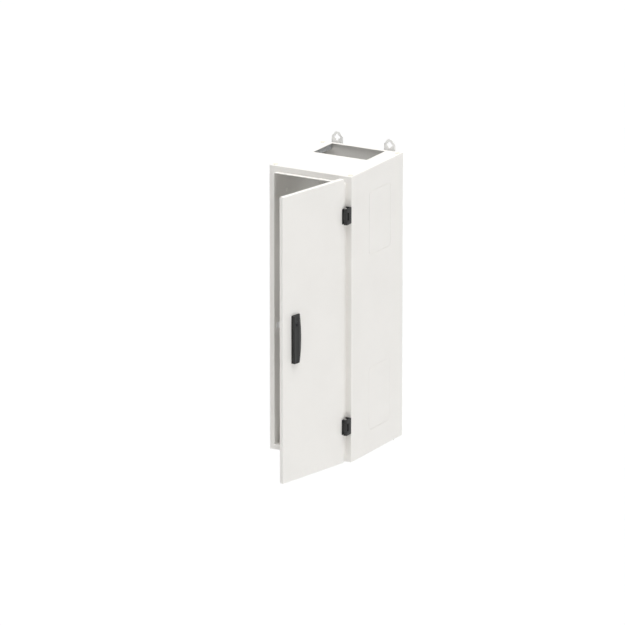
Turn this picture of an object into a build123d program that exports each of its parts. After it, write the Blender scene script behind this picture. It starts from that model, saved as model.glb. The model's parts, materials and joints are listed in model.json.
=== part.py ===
"""Wall-mounted automatic transfer switch: steel cabinet, hinged door and switchgear.

Millimetres.  X runs to the right, Y runs back into the wall, Z runs up.  The origin is on the
wall, at the centre of the four wall holes.
"""
import math
import os

from build123d import *

os.makedirs("parts", exist_ok=True)

# ---------------------------------------------------------------- cabinet sizes
WIDTH = 300.0
HEIGHT = 950.0
DEPTH = 336.0
STANDOFF = 10.0
SHEET = 1.5
FACE_SHEET = 2.0
FRONT = -(DEPTH + STANDOFF)
REAR = -STANDOFF
HALF = WIDTH / 2
TOP = HEIGHT / 2
BACK_FLANGE = 10.5
FLOOR_EDGE = 5.0
RETURN = 12.0

# front frame: a flat border with a raised hemmed lip round the doorway
RIM_HALF_X = 129.5
RIM_HALF_Z = 456.5
RIM_WIDTH = 3.0
RIM_RISE = 12.0

# roof opening and caps
OPEN_X0, OPEN_X1 = -106.0, 91.0
OPEN_Y0, OPEN_Y1 = FRONT + 203.5, FRONT + 325.0
CAP_X = 137.0
CAP_Y = (FRONT + 16.0, FRONT + 322.0)

# knock-out outlines in the side panels
KNOCK_DEEP = 140.0
KNOCK_TALL = 211.0
KNOCK_Y = FRONT + 185.5
KNOCK_Z = TOP - 182.0

# wall lugs
LUG_X = 96.5
LUG_HOLE_Z = TOP + 17.5
LUG_RISE = 18.5
STRAP_END = 8.5
LUG_WIDTH = 41.0
LUG_THICK = 3.0
LUG_SEAT = 58.0
CROSS_WIDTH = 9.0
CROSS_LENGTH = 22.0

# ---------------------------------------------------------------- door sizes
DOOR_WIDTH = 292.0
DOOR_HEIGHT = 945.0
DOOR_FACE_Y = FRONT - 16.5
DOOR_THICK = 13.5
HINGE_FLANGE = 9.0
DOOR_ANGLE = 78.0
PIVOT_X = 142.7
PIVOT_Y = FRONT - 25.0
HINGE_Z = (350.5, -350.5)
PIN_R = 2.5
KNUCKLE_R = 6.0

# handle on the door, in the shut position
HANDLE_X = -94.0
SPINDLE_Z = -54.0
LOCK_RISE = 101.0
HANDLE_LOW = SPINDLE_Z - 28
HANDLE_HIGH = SPINDLE_Z + 131

# ---------------------------------------------------------------- switchgear sizes
PLATE_FRONT = -48.0
PLATE_HALF_X = 120.0
PLATE_Z0, PLATE_Z1 = -410.0, 290.0
SHAFT_Y = -100.0
SHAFT_Z = -110.0
POLES = (-84.0, -54.0, -24.0, 6.0)
SWITCH_HALF_X = 105.0
SWITCH_Z0, SWITCH_Z1 = -195.0, -25.0
SWITCH_FRONT = -178.0
THROW_DEG = 25.0
GEAR_MODULE = 2.0
GEAR_TEETH = 33
PINION_TEETH = 10
PINION_Z = SHAFT_Z - GEAR_MODULE * (GEAR_TEETH + PINION_TEETH) / 2


def box(x0, x1, y0, y1, z0, z1, mode=Mode.ADD):
    """A block between two corners, added to the open part."""
    with Locations(((x0 + x1) / 2, (y0 + y1) / 2, (z0 + z1) / 2)):
        Box(x1 - x0, y1 - y0, z1 - z0, mode=mode)


def rod(x, y, z, radius, length, axis, mode=Mode.ADD):
    """A cylinder that starts at a point and runs along +X, +Y or +Z."""
    turn = {"x": (0, 90, 0), "y": (-90, 0, 0), "z": (0, 0, 0)}[axis]
    shift = {"x": (length / 2, 0, 0), "y": (0, length / 2, 0), "z": (0, 0, length / 2)}[axis]
    with Locations((x + shift[0], y + shift[1], z + shift[2])):
        Cylinder(radius, length, rotation=turn, mode=mode)


def hexagon(x, y, z, flats, length, axis, mode=Mode.ADD):
    """A hexagonal nut or bolt head that runs along +Y or +Z."""
    plane = {"y": Plane((x, y, z), (1, 0, 0), (0, 1, 0)),
             "z": Plane((x, y, z), (1, 0, 0), (0, 0, 1))}[axis]
    with BuildSketch(plane) as outline:
        RegularPolygon(flats / math.sqrt(3), 6)
    extrude(outline.sketch, amount=length, mode=mode)


def front_plane(y):
    """A drawing plane that faces the viewer: local x is +X, local y is +Z."""
    return Plane((0, y, 0), (1, 0, 0), (0, -1, 0))


def ring(half_x, half_z, width, y0, y1, radius, mode=Mode.ADD):
    """A rectangular ring that stands in the front plane, from y0 back to y1."""
    with BuildSketch(front_plane(y1)) as outline:
        RectangleRounded(2 * half_x, 2 * half_z, radius)
        RectangleRounded(2 * (half_x - width), 2 * (half_z - width), max(radius - width, 0.6),
                         mode=Mode.SUBTRACT)
    extrude(outline.sketch, amount=y1 - y0, mode=mode)


def save(part, name):
    """Label a finished piece and write it."""
    part.label = name
    export_step(part, f"parts/{name}.step")


def opened(part):
    """Swing a piece that was drawn on the shut door to the open position."""
    swing = Pos(PIVOT_X, PIVOT_Y, 0) * Rot(0, 0, DOOR_ANGLE) * Pos(-PIVOT_X, -PIVOT_Y, 0)
    return swing * part


# ---------------------------------------------------------------- side panels
def side_panel(sign):
    """Side sheet with returns folded inwards and two knock-out outlines cut part way in."""
    outer = sign * HALF
    inner = sign * (HALF - SHEET)
    lip = sign * (HALF - SHEET - RETURN)
    y0, y1 = FRONT + FACE_SHEET, REAR - BACK_FLANGE
    z0, z1 = -TOP + FLOOR_EDGE, TOP - SHEET
    with BuildPart() as panel:
        box(min(outer, lip), max(outer, lip), y0, y1, z0, z1)
        box(min(inner, lip), max(inner, lip), y0 + SHEET, y1 - SHEET, z0 + SHEET, z1 - SHEET,
            mode=Mode.SUBTRACT)
        for z in (KNOCK_Z, -KNOCK_Z):
            with BuildSketch(Plane((outer, KNOCK_Y, z), (0, 1, 0), (sign, 0, 0))):
                RectangleRounded(KNOCK_DEEP, KNOCK_TALL, 12)
                RectangleRounded(KNOCK_DEEP - 2.4, KNOCK_TALL - 2.4, 10.8, mode=Mode.SUBTRACT)
            extrude(amount=-0.7, mode=Mode.SUBTRACT)
    return panel.part


save(side_panel(-1), "side_panel_left")
save(side_panel(1), "side_panel_right")

# ---------------------------------------------------------------- back panel
with BuildPart() as back_panel:
    box(-HALF, HALF, REAR - BACK_FLANGE, REAR, -TOP + FLOOR_EDGE, TOP - SHEET)
    box(-HALF + SHEET, HALF - SHEET, REAR - BACK_FLANGE, REAR - SHEET, -TOP, TOP,
        mode=Mode.SUBTRACT)
    for z in (TOP - LUG_SEAT, -TOP + LUG_SEAT):
        for x in (-LUG_X, LUG_X):
            rod(x, REAR - 5, z, 4.2, 8, "y", Mode.SUBTRACT)
save(back_panel.part, "back_panel")

# ---------------------------------------------------------------- roof
with BuildPart() as roof_panel:
    box(-HALF, HALF, FRONT, REAR, TOP - SHEET, TOP)
    with BuildSketch(Plane.XY.offset(TOP - SHEET)):
        with Locations(((OPEN_X0 + OPEN_X1) / 2, (OPEN_Y0 + OPEN_Y1) / 2)):
            RectangleRounded(OPEN_X1 - OPEN_X0, OPEN_Y1 - OPEN_Y0, 3)
    extrude(amount=SHEET, mode=Mode.SUBTRACT)
    for x in (-CAP_X, CAP_X):
        for y in CAP_Y:
            rod(x, y, TOP - 3, 5.2, 6, "z", Mode.SUBTRACT)
save(roof_panel.part, "roof_panel")

with BuildPart() as roof_caps:
    for x in (-CAP_X, CAP_X):
        for y in CAP_Y:
            with BuildSketch(Plane.XY.offset(TOP)):
                with Locations((x, y)):
                    Circle(8)
            extrude(amount=3, taper=28)
            rod(x, y, TOP - SHEET, 4.9, SHEET, "z")
save(roof_caps.part, "roof_caps")

# ---------------------------------------------------------------- floor and gland plate
GLAND_X = 104.0
GLAND_Y = (FRONT + 197.5, FRONT + 331)
GLAND_SCREW_Y = (GLAND_Y[0] + 6, GLAND_Y[1] - 8)
with BuildPart() as floor_panel:
    box(-HALF, HALF, FRONT, REAR, -TOP, -TOP + FLOOR_EDGE)
    fillet(floor_panel.edges().group_by(Axis.Z)[0], 2.2)
    box(-HALF + SHEET, HALF - SHEET, FRONT + SHEET, REAR - SHEET, -TOP + SHEET, -TOP + FLOOR_EDGE,
        mode=Mode.SUBTRACT)
    box(-98.5, 98.5, FRONT + 203.5, FRONT + 325, -TOP - 1, -TOP + 3, mode=Mode.SUBTRACT)
    for x in (-GLAND_X, GLAND_X):
        for y in GLAND_SCREW_Y:
            rod(x, y, -TOP - 1, 2.6, 4, "z", Mode.SUBTRACT)
save(floor_panel.part, "floor_panel")

with BuildPart() as gland_plate:
    box(-GLAND_X - 6, GLAND_X + 6, GLAND_Y[0] - 4, GLAND_Y[1] + 1.5, -TOP + SHEET, -TOP + SHEET + 2)
    for x in (-GLAND_X, GLAND_X):
        for y in GLAND_SCREW_Y:
            rod(x, y, -TOP, 2.6, 6, "z", Mode.SUBTRACT)
    for x in (-60, 0, 60):
        with BuildSketch(Plane.XY.offset(-TOP + SHEET + 2)):
            with Locations((x, FRONT + 264)):
                Circle(20)
                Circle(19, mode=Mode.SUBTRACT)
        extrude(amount=-1, mode=Mode.SUBTRACT)
save(gland_plate.part, "gland_plate")

# ---------------------------------------------------------------- front frame
with BuildPart() as front_frame:
    box(-HALF, HALF, FRONT, FRONT + FACE_SHEET, -TOP + FLOOR_EDGE, TOP - SHEET)
    ring(RIM_HALF_X, RIM_HALF_Z, RIM_WIDTH, FRONT - RIM_RISE, FRONT, 7)
    with BuildSketch(front_plane(FRONT + FACE_SHEET + 1)) as doorway:
        RectangleRounded(2 * (RIM_HALF_X - RIM_WIDTH), 2 * (RIM_HALF_Z - RIM_WIDTH), 4)
    extrude(doorway.sketch, amount=RIM_RISE + 10, mode=Mode.SUBTRACT)
    fillet(front_frame.edges().group_by(Axis.Y)[0], 1.2)
    # covered screw places for hanging the door on the left instead
    for z in HINGE_Z:
        with BuildSketch(front_plane(FRONT)) as slot:
            with Locations((-141.5, z)):
                SlotOverall(34, 3.6, rotation=90)
        extrude(slot.sketch, amount=-0.7, mode=Mode.SUBTRACT)
save(front_frame.part, "front_frame")

# ---------------------------------------------------------------- wall lugs and their bolts
LUG_HALF = LUG_WIDTH / 2
SEAT_Z = TOP - LUG_SEAT
with BuildPart() as wall_lugs:
    for x in (-LUG_X, LUG_X):
        with BuildSketch(front_plane(0)):
            with BuildLine():
                Polyline((x - LUG_HALF, SEAT_Z - 18), (x - LUG_HALF, LUG_HOLE_Z + 2),
                         (x - 9, LUG_HOLE_Z + LUG_RISE - 2.5), (x - 5, LUG_HOLE_Z + LUG_RISE),
                         (x + 5, LUG_HOLE_Z + LUG_RISE), (x + 9, LUG_HOLE_Z + LUG_RISE - 2.5),
                         (x + LUG_HALF, LUG_HOLE_Z + 2), (x + LUG_HALF, SEAT_Z - 18),
                         close=True)
            make_face()
            with Locations((x, LUG_HOLE_Z)):
                SlotOverall(CROSS_LENGTH, CROSS_WIDTH, mode=Mode.SUBTRACT)
                SlotOverall(CROSS_LENGTH, CROSS_WIDTH, rotation=90, mode=Mode.SUBTRACT)
        extrude(amount=LUG_THICK)
        box(x - LUG_HALF, x + LUG_HALF, -LUG_THICK, 0, -LUG_HOLE_Z - STRAP_END, 18 - SEAT_Z)
        with BuildSketch(front_plane(1)):
            with Locations((x, -LUG_HOLE_Z)):
                SlotOverall(CROSS_LENGTH, CROSS_WIDTH)
        extrude(amount=LUG_THICK + 2, mode=Mode.SUBTRACT)
        for z in (-SEAT_Z, SEAT_Z):
            rod(x, REAR, z, 12, STANDOFF - LUG_THICK, "y")
            rod(x, REAR - 1, z, 3.4, STANDOFF + 2, "y", Mode.SUBTRACT)
save(wall_lugs.part, "wall_lugs")

with BuildPart() as lug_bolts:
    for z in (TOP - LUG_SEAT, -TOP + LUG_SEAT):
        for x in (-LUG_X, LUG_X):
            rod(x, REAR - SHEET, z, 3.3, STANDOFF + SHEET - 0.5, "y")
            hexagon(x, REAR - SHEET - 5.5, z, 13, 5.5, "y")
save(lug_bolts.part, "lug_bolts")

# ---------------------------------------------------------------- rails beside the roof entry
ENTRY_RAIL_WIDE = 25.0
ENTRY_RAIL_TALL = 16.5
with BuildPart() as entry_rails:
    for edge, side in ((OPEN_X0, -1), (OPEN_X1, 1)):
        z1 = TOP - SHEET
        z0 = z1 - ENTRY_RAIL_TALL
        x0, x1 = sorted((edge, edge + side * ENTRY_RAIL_WIDE))
        box(x0, x1, OPEN_Y0, OPEN_Y1, z0, z1)
        hollow = sorted((edge + side * 1.5, edge + side * (ENTRY_RAIL_WIDE + 1)))
        box(hollow[0], hollow[1], OPEN_Y0 - 1, OPEN_Y1 + 1, z0 + 1.5, z1 - 1.5, mode=Mode.SUBTRACT)
        for rise in (4.6, 9.6):
            groove = sorted((edge + side * 0.6, edge - side * 1))
            box(groove[0], groove[1], OPEN_Y0 - 1, OPEN_Y1 + 1, z0 + rise, z0 + rise + 1.6,
                mode=Mode.SUBTRACT)
save(entry_rails.part, "entry_rails")

# ---------------------------------------------------------------- hinges
with BuildPart() as hinge_frame_parts:
    for z in HINGE_Z:
        box(131, HALF, FRONT - 2.5, FRONT, z - 26.5, z + 26.5)
        box(147, HALF, FRONT - 16, FRONT, z - 26.5, z + 26.5)
        for low in (z - 26.5, z + 13.0):
            rod(PIVOT_X, PIVOT_Y, low, KNUCKLE_R, 13.5, "z")
            box(147, HALF, PIVOT_Y - 1, FRONT, low, low + 13.5)
            box(PIVOT_X, HALF, PIVOT_Y - 4, PIVOT_Y + 1.5, low, low + 13.5)
        rod(PIVOT_X, PIVOT_Y, z - 30, PIN_R + 0.02, 60, "z", Mode.SUBTRACT)
        for dz in (-18, 18):
            rod(139, FRONT - 3, z + dz, 2.3, 5, "y", Mode.SUBTRACT)
            with BuildSketch(front_plane(FRONT - 2.5)):
                with Locations((139, z + dz)):
                    Circle(4.3)
            extrude(amount=-2, taper=45, mode=Mode.SUBTRACT)
save(hinge_frame_parts.part, "hinge_frame_parts")

with BuildPart() as hinge_screws:
    for z in HINGE_Z:
        for dz in (-18, 18):
            with BuildSketch(front_plane(FRONT - 2.3)):
                with Locations((139, z + dz)):
                    Circle(4.0)
            extrude(amount=-1.9, taper=45)
            rod(139, FRONT - 1.2, z + dz, 2.1, 1.2, "y")
            box(136.6, 141.4, FRONT - 2.4, FRONT - 1.6, z + dz - 0.5, z + dz + 0.5,
                mode=Mode.SUBTRACT)
save(hinge_screws.part, "hinge_screws")

with BuildPart() as hinge_pins:
    for z in HINGE_Z:
        rod(PIVOT_X, PIVOT_Y, z - 26.5, PIN_R, 54, "z")
        rod(PIVOT_X, PIVOT_Y, z + 26.5, 3.6, 1.5, "z")
save(hinge_pins.part, "hinge_pins")

with BuildPart() as hinge_leaves:
    for z in HINGE_Z:
        box(134.5, 146, DOOR_FACE_Y - 2, DOOR_FACE_Y, z - 25, z + 25)
        rod(PIVOT_X, PIVOT_Y, z - 12.5, KNUCKLE_R, 25, "z")
        box(PIVOT_X - KNUCKLE_R, 146, PIVOT_Y, DOOR_FACE_Y, z - 12.5, z + 12.5)
        rod(PIVOT_X, PIVOT_Y, z - 13, PIN_R + 0.08, 26, "z", Mode.SUBTRACT)
    chamfer(hinge_leaves.edges().filter_by(Axis.Z).group_by(Axis.X)[0], 0.8)
save(opened(hinge_leaves.part), "hinge_leaves")

# ---------------------------------------------------------------- door
with BuildPart() as door_panel:
    half_x, half_z = DOOR_WIDTH / 2, DOOR_HEIGHT / 2
    inner_y = DOOR_FACE_Y + DOOR_THICK
    box(-half_x, half_x, DOOR_FACE_Y, inner_y, -half_z, half_z)
    fillet(door_panel.edges().group_by(Axis.Y)[0], 2.4)
    box(-half_x + SHEET, half_x - SHEET, DOOR_FACE_Y + SHEET, inner_y, -half_z + SHEET,
        half_z - SHEET, mode=Mode.SUBTRACT)
    for sx in (-1, 1):
        for sz in (-1, 1):
            box(sx * half_x - 2.5, sx * half_x + 2.5, DOOR_FACE_Y + 2.5, inner_y,
                sz * half_z - 2.5, sz * half_z + 2.5, mode=Mode.SUBTRACT)
    # the flange beside the hinges is shallower, so that it swings clear of the rim
    box(half_x - SHEET - 1, half_x + 1, DOOR_FACE_Y + HINGE_FLANGE, inner_y + 1, -half_z + SHEET,
        half_z - SHEET, mode=Mode.SUBTRACT)
    rod(HANDLE_X, DOOR_FACE_Y - 1, SPINDLE_Z, 9, 5, "y", Mode.SUBTRACT)
    rod(HANDLE_X, DOOR_FACE_Y - 1, SPINDLE_Z + LOCK_RISE, 11, 5, "y", Mode.SUBTRACT)
save(opened(door_panel.part), "door_panel")

with BuildPart() as door_gasket:
    ring(132, 459, 12, DOOR_FACE_Y + SHEET, FRONT - RIM_RISE - 0.3, 9)
save(opened(door_gasket.part), "door_gasket")

# ---------------------------------------------------------------- handle base, lever and lock
def handle_outline(inset):
    """Outline straight on the free side and bulged towards the hinges."""
    left = HANDLE_X - 12.2 + inset
    right = HANDLE_X + 25 - inset
    bulge = HANDLE_X + 31.5 - inset
    low, high = HANDLE_LOW + inset, HANDLE_HIGH - inset
    with BuildLine() as edge:
        Line((left, low), (left, high))
        Line((left, high), (right, high))
        ThreePointArc((right, high), (bulge, (low + high) / 2), (right, low))
        Line((right, low), (left, low))
    make_face(edge.edges())


with BuildPart() as handle_base:
    with BuildSketch(front_plane(DOOR_FACE_Y)) as base_sketch:
        handle_outline(0)
        fillet(base_sketch.vertices(), 3)
    extrude(amount=3.5)
    chamfer(handle_base.edges().group_by(Axis.Y)[0], 1.0)
    rod(HANDLE_X, DOOR_FACE_Y - 1, SPINDLE_Z, 8.6, SHEET + 5, "y")
    rod(HANDLE_X, DOOR_FACE_Y - 5, SPINDLE_Z, 6.2, SHEET + 12, "y", Mode.SUBTRACT)
save(opened(handle_base.part), "handle_base")

with BuildPart() as handle_nut:
    hexagon(HANDLE_X, DOOR_FACE_Y + SHEET, SPINDLE_Z, 24, 4, "y")
    rod(HANDLE_X, DOOR_FACE_Y, SPINDLE_Z, 8.65, 12, "y", Mode.SUBTRACT)
save(opened(handle_nut.part), "handle_nut")

LEVER_BACK = DOOR_FACE_Y - 3.9
LEVER_FACE = LEVER_BACK - 9
LEVER_FLAT = 11.7
with BuildPart() as lever:
    with BuildSketch(front_plane(LEVER_BACK)):
        handle_outline(0.8)
    with BuildSketch(front_plane(LEVER_FACE)):
        with Locations((HANDLE_X, (HANDLE_LOW + HANDLE_HIGH) / 2)):
            Rectangle(2 * LEVER_FLAT, HANDLE_HIGH - HANDLE_LOW - 2)
    loft(ruled=True)
    box(HANDLE_X - 8, HANDLE_X + 12, LEVER_BACK - 4, LEVER_BACK + 1, SPINDLE_Z + 24,
        SPINDLE_Z + 76, mode=Mode.SUBTRACT)
    rod(HANDLE_X, LEVER_FACE - 1, SPINDLE_Z + LOCK_RISE, 10.1, 12, "y", Mode.SUBTRACT)
save(opened(lever.part), "lever")

KEY_SLOT = (5.0, 2.4)
with BuildPart() as lock_barrel:
    rod(HANDLE_X, LEVER_FACE + 0.8, SPINDLE_Z + LOCK_RISE, 10, 8.2, "y")
    chamfer(lock_barrel.edges().group_by(Axis.Y)[0], 0.8)
    with BuildSketch(front_plane(LEVER_FACE + 0.8)) as keyway:
        with Locations((HANDLE_X, SPINDLE_Z + LOCK_RISE)):
            Circle(4.2)
    extrude(keyway.sketch, amount=-5, mode=Mode.SUBTRACT)
    with BuildSketch(front_plane(LEVER_FACE + 5.8)) as key_bar:
        with Locations((HANDLE_X, SPINDLE_Z + LOCK_RISE)):
            SlotOverall(KEY_SLOT[0], KEY_SLOT[1], rotation=35)
    extrude(key_bar.sketch, amount=4)
save(opened(lock_barrel.part), "lock_barrel")

CAM_Y = FRONT + 16
with BuildPart() as lever_spindle:
    rod(HANDLE_X, LEVER_BACK, SPINDLE_Z, 6, 12, "y")
    box(HANDLE_X - 4, HANDLE_X + 4, LEVER_BACK + 11, CAM_Y + 4, SPINDLE_Z - 4, SPINDLE_Z + 4)
    rod(HANDLE_X, CAM_Y - 4, SPINDLE_Z, 7, 3.8, "y")
    hexagon(HANDLE_X, CAM_Y + 3.2, SPINDLE_Z, 13, 4, "y")
save(opened(lever_spindle.part), "lever_spindle")

with BuildPart() as latch_cam:
    box(HANDLE_X - 8, HANDLE_X + 8, CAM_Y, CAM_Y + 3, SPINDLE_Z - 46, SPINDLE_Z)
    rod(HANDLE_X, CAM_Y, SPINDLE_Z, 12, 3, "y")
    fillet(latch_cam.edges().filter_by(Axis.Y).group_by(Axis.Z)[0], 5)
    box(HANDLE_X - 4.05, HANDLE_X + 4.05, CAM_Y - 1, CAM_Y + 5, SPINDLE_Z - 4.05,
        SPINDLE_Z + 4.05, mode=Mode.SUBTRACT)
save(opened(latch_cam.part), "latch_cam")

with BuildPart() as latch_keeper:
    inside = -RIM_HALF_X + RIM_WIDTH
    behind = FRONT + FACE_SHEET
    low, high = SPINDLE_Z - 13, SPINDLE_Z + 7
    box(inside - 9, inside + 2, behind, behind + 2, low, high)
    box(inside, inside + 2, behind, CAM_Y - 1, low, high)
    box(inside, inside + 9, CAM_Y - 3, CAM_Y - 1, low, high)
save(latch_keeper.part, "latch_keeper")


# ---------------------------------------------------------------- mounting plate
with BuildPart() as mounting_plate:
    box(-PLATE_HALF_X, PLATE_HALF_X, PLATE_FRONT, PLATE_FRONT + 2, PLATE_Z0, PLATE_Z1)
    fillet(mounting_plate.edges().filter_by(Axis.Y), 6)
    for x in (-PLATE_HALF_X + 12, PLATE_HALF_X - 12):
        for z in (PLATE_Z0 + 14, PLATE_Z1 - 14):
            rod(x, PLATE_FRONT - 1, z, 4.3, 4, "y", Mode.SUBTRACT)
save(mounting_plate.part, "mounting_plate")

with BuildPart() as plate_studs:
    for x in (-PLATE_HALF_X + 12, PLATE_HALF_X - 12):
        for z in (PLATE_Z0 + 14, PLATE_Z1 - 14):
            rod(x, PLATE_FRONT + 2, z, 8, REAR - SHEET - PLATE_FRONT - 2, "y")
            rod(x, PLATE_FRONT - 10, z, 4, 13, "y")
save(plate_studs.part, "plate_studs")

with BuildPart() as plate_nuts:
    for x in (-PLATE_HALF_X + 12, PLATE_HALF_X - 12):
        for z in (PLATE_Z0 + 14, PLATE_Z1 - 14):
            rod(x, PLATE_FRONT - 1.2, z, 8.5, 1.2, "y")
            hexagon(x, PLATE_FRONT - 7.7, z, 13, 6.5, "y")
            rod(x, PLATE_FRONT - 12, z, 4.02, 14, "y", Mode.SUBTRACT)
save(plate_nuts.part, "plate_nuts")

# ---------------------------------------------------------------- rails and ducts on the plate
RAIL_ZS = (195.0, 95.0, -290.0)
RAIL_FACE = PLATE_FRONT - 7.5
with BuildPart() as din_rails:
    for z in RAIL_ZS:
        box(-112, 112, PLATE_FRONT - 1, PLATE_FRONT, z - 12.5, z + 12.5)
        for sign in (-1, 1):
            wall = sorted((z + sign * 12.5, z + sign * 11.5))
            foot = sorted((z + sign * 17.5, z + sign * 11.5))
            box(-112, 112, RAIL_FACE, PLATE_FRONT, wall[0], wall[1])
            box(-112, 112, RAIL_FACE, RAIL_FACE + 1, foot[0], foot[1])
save(din_rails.part, "din_rails")

DUCTS = ((252.0, 284.0), (-258.0, -226.0))
with BuildPart() as cable_ducts:
    for low, high in DUCTS:
        box(-92, 92, PLATE_FRONT - 55, PLATE_FRONT, low, high)
        box(-93, 93, PLATE_FRONT - 56, PLATE_FRONT - 2, low + 2, high - 2, mode=Mode.SUBTRACT)
        for step in range(14):
            x = -84.5 + 13 * step
            box(x - 2.5, x + 2.5, PLATE_FRONT - 56, PLATE_FRONT - 14, low - 1, high + 1,
                mode=Mode.SUBTRACT)
    for low, high in DUCTS:
        box(-92, 92, PLATE_FRONT - 57.2, PLATE_FRONT - 55.2, low - 1.8, high + 1.8)
        box(-92, 92, PLATE_FRONT - 57.2, PLATE_FRONT - 48, low - 1.8, low - 0.2)
        box(-92, 92, PLATE_FRONT - 57.2, PLATE_FRONT - 48, high + 0.2, high + 1.8)
save(cable_ducts.part, "cable_ducts")

# ---------------------------------------------------------------- transfer switch housing
CHAMBERS = [(x - 13, x + 13) for x in POLES] + [(23.0, 101.0)]
COVER_SLOT_X = (80.0, 94.0)
COVER_SLOT_Z = (SHAFT_Z - 46, SHAFT_Z + 46)
EARS = [(sx, z) for sx in (-1, 1) for z in (SWITCH_Z0 + 12, SWITCH_Z1 - 12)]

with BuildPart() as switch_base:
    box(-SWITCH_HALF_X, SWITCH_HALF_X, SHAFT_Y, PLATE_FRONT, SWITCH_Z0, SWITCH_Z1)
    for x0, x1 in CHAMBERS:
        box(x0, x1, SHAFT_Y - 1, PLATE_FRONT - 4, SWITCH_Z0 + 4, SWITCH_Z1 - 4,
            mode=Mode.SUBTRACT)
    for x in POLES:
        box(x - 9.3, x + 9.3, SHAFT_Y + 31.6, SHAFT_Y + 36.4, SWITCH_Z1 - 5, SWITCH_Z1 + 1,
            mode=Mode.SUBTRACT)
        box(x - 9.3, x + 9.3, SHAFT_Y - 1, SHAFT_Y + 2.4, SWITCH_Z0 - 1, SWITCH_Z0 + 5,
            mode=Mode.SUBTRACT)
    rod(-SWITCH_HALF_X + 3, SHAFT_Y, SHAFT_Z, 7.4, 200, "x", Mode.SUBTRACT)
    for sx, z in EARS:
        ear = sorted((sx * SWITCH_HALF_X, sx * (SWITCH_HALF_X + 12)))
        box(ear[0], ear[1], PLATE_FRONT - 6, PLATE_FRONT, z - 8, z + 8)
        rod(sx * (SWITCH_HALF_X + 6), PLATE_FRONT - 8, z, 2.7, 9, "y", Mode.SUBTRACT)
save(switch_base.part, "switch_base")

with BuildPart() as switch_cover:
    box(-SWITCH_HALF_X, SWITCH_HALF_X, SWITCH_FRONT, SHAFT_Y, SWITCH_Z0, SWITCH_Z1)
    chamfer(switch_cover.edges().group_by(Axis.Y)[0], 3)
    for x0, x1 in CHAMBERS:
        box(x0, x1, SWITCH_FRONT + 4, SHAFT_Y + 1, SWITCH_Z0 + 4, SWITCH_Z1 - 4,
            mode=Mode.SUBTRACT)
    for x in POLES:
        box(x - 9.3, x + 9.3, SHAFT_Y - 36.4, SHAFT_Y - 31.6, SWITCH_Z1 - 5, SWITCH_Z1 + 1,
            mode=Mode.SUBTRACT)
        box(x - 9.3, x + 9.3, SHAFT_Y - 2.4, SHAFT_Y + 1, SWITCH_Z0 - 1, SWITCH_Z0 + 5,
            mode=Mode.SUBTRACT)
    rod(-SWITCH_HALF_X + 3, SHAFT_Y, SHAFT_Z, 7.4, 200, "x", Mode.SUBTRACT)
    box(COVER_SLOT_X[0], COVER_SLOT_X[1], SWITCH_FRONT - 1, SWITCH_FRONT + 5, COVER_SLOT_Z[0],
        COVER_SLOT_Z[1], mode=Mode.SUBTRACT)
    for x in (-102.8 + 1, SWITCH_HALF_X - 2.2 - 1):
        for z in (SWITCH_Z0 + 30, SWITCH_Z1 - 30):
            rod(x, SWITCH_FRONT - 1, z, 1.0, 3, "y", Mode.SUBTRACT)
    box(-97, -7, SWITCH_FRONT - 1, SWITCH_FRONT + 1.2, SHAFT_Z - 45, SHAFT_Z + 45,
        mode=Mode.SUBTRACT)
    for step in range(9):
        z = SHAFT_Z - 40 + 10 * step
        box(-97, -7, SWITCH_FRONT, SWITCH_FRONT + 2, z - 1.5, z + 1.5)
save(switch_cover.part, "switch_cover")

with BuildPart() as m5_screws:
    for sx, z in EARS:
        rod(sx * (SWITCH_HALF_X + 6), PLATE_FRONT - 6, z, 2.4, 6, "y")
        rod(sx * (SWITCH_HALF_X + 6), PLATE_FRONT - 9.5, z, 4.4, 3.5, "y")
        with BuildSketch(front_plane(PLATE_FRONT - 9.5)):
            with Locations((sx * (SWITCH_HALF_X + 6), z)):
                RegularPolygon(2.4, 6)
        extrude(amount=-2.2, mode=Mode.SUBTRACT)
    for x in (-GLAND_X, GLAND_X):
        for y in GLAND_SCREW_Y:
            rod(x, y, -TOP, 2.4, SHEET + 2, "z")
            rod(x, y, -TOP + SHEET + 2, 4.4, 3.5, "z")
            with BuildSketch(Plane.XY.offset(-TOP + SHEET + 5.5)):
                with Locations((x, y)):
                    RegularPolygon(2.4, 6)
            extrude(amount=-2.2, mode=Mode.SUBTRACT)
save(m5_screws.part, "m5_screws")

# ---------------------------------------------------------------- fixed contacts and terminals
TAB_OUT = 23.0


def supply_contacts(side):
    """Fixed contacts of one supply: forked jaw, root and terminal bar for each pole."""
    top = SWITCH_Z1 + (TAB_OUT if side < 0 else TAB_OUT + 20)
    with BuildPart() as contacts:
        for x in POLES:
            jaw = sorted((SHAFT_Y + side * 8.8, SHAFT_Y + side * 27))
            root = sorted((SHAFT_Y + side * 26, SHAFT_Y + side * 36))
            bar = sorted((SHAFT_Y + side * 32, SHAFT_Y + side * 36))
            for cheek in (-1, 1):
                edge = sorted((x + cheek * 2.6, x + cheek * 4.8))
                box(edge[0], edge[1], jaw[0], jaw[1], SHAFT_Z + 20, SHAFT_Z + 46)
            box(x - 4.8, x + 4.8, root[0], root[1], SHAFT_Z + 20, SHAFT_Z + 46)
            box(x - 9, x + 9, bar[0], bar[1], SHAFT_Z + 30, top)
            rod(x, bar[0] - 1, top - 11, 4.3, 6, "y", Mode.SUBTRACT)
    return contacts.part


save(supply_contacts(-1), "supply_one_contacts")
save(supply_contacts(1), "supply_two_contacts")

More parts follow.
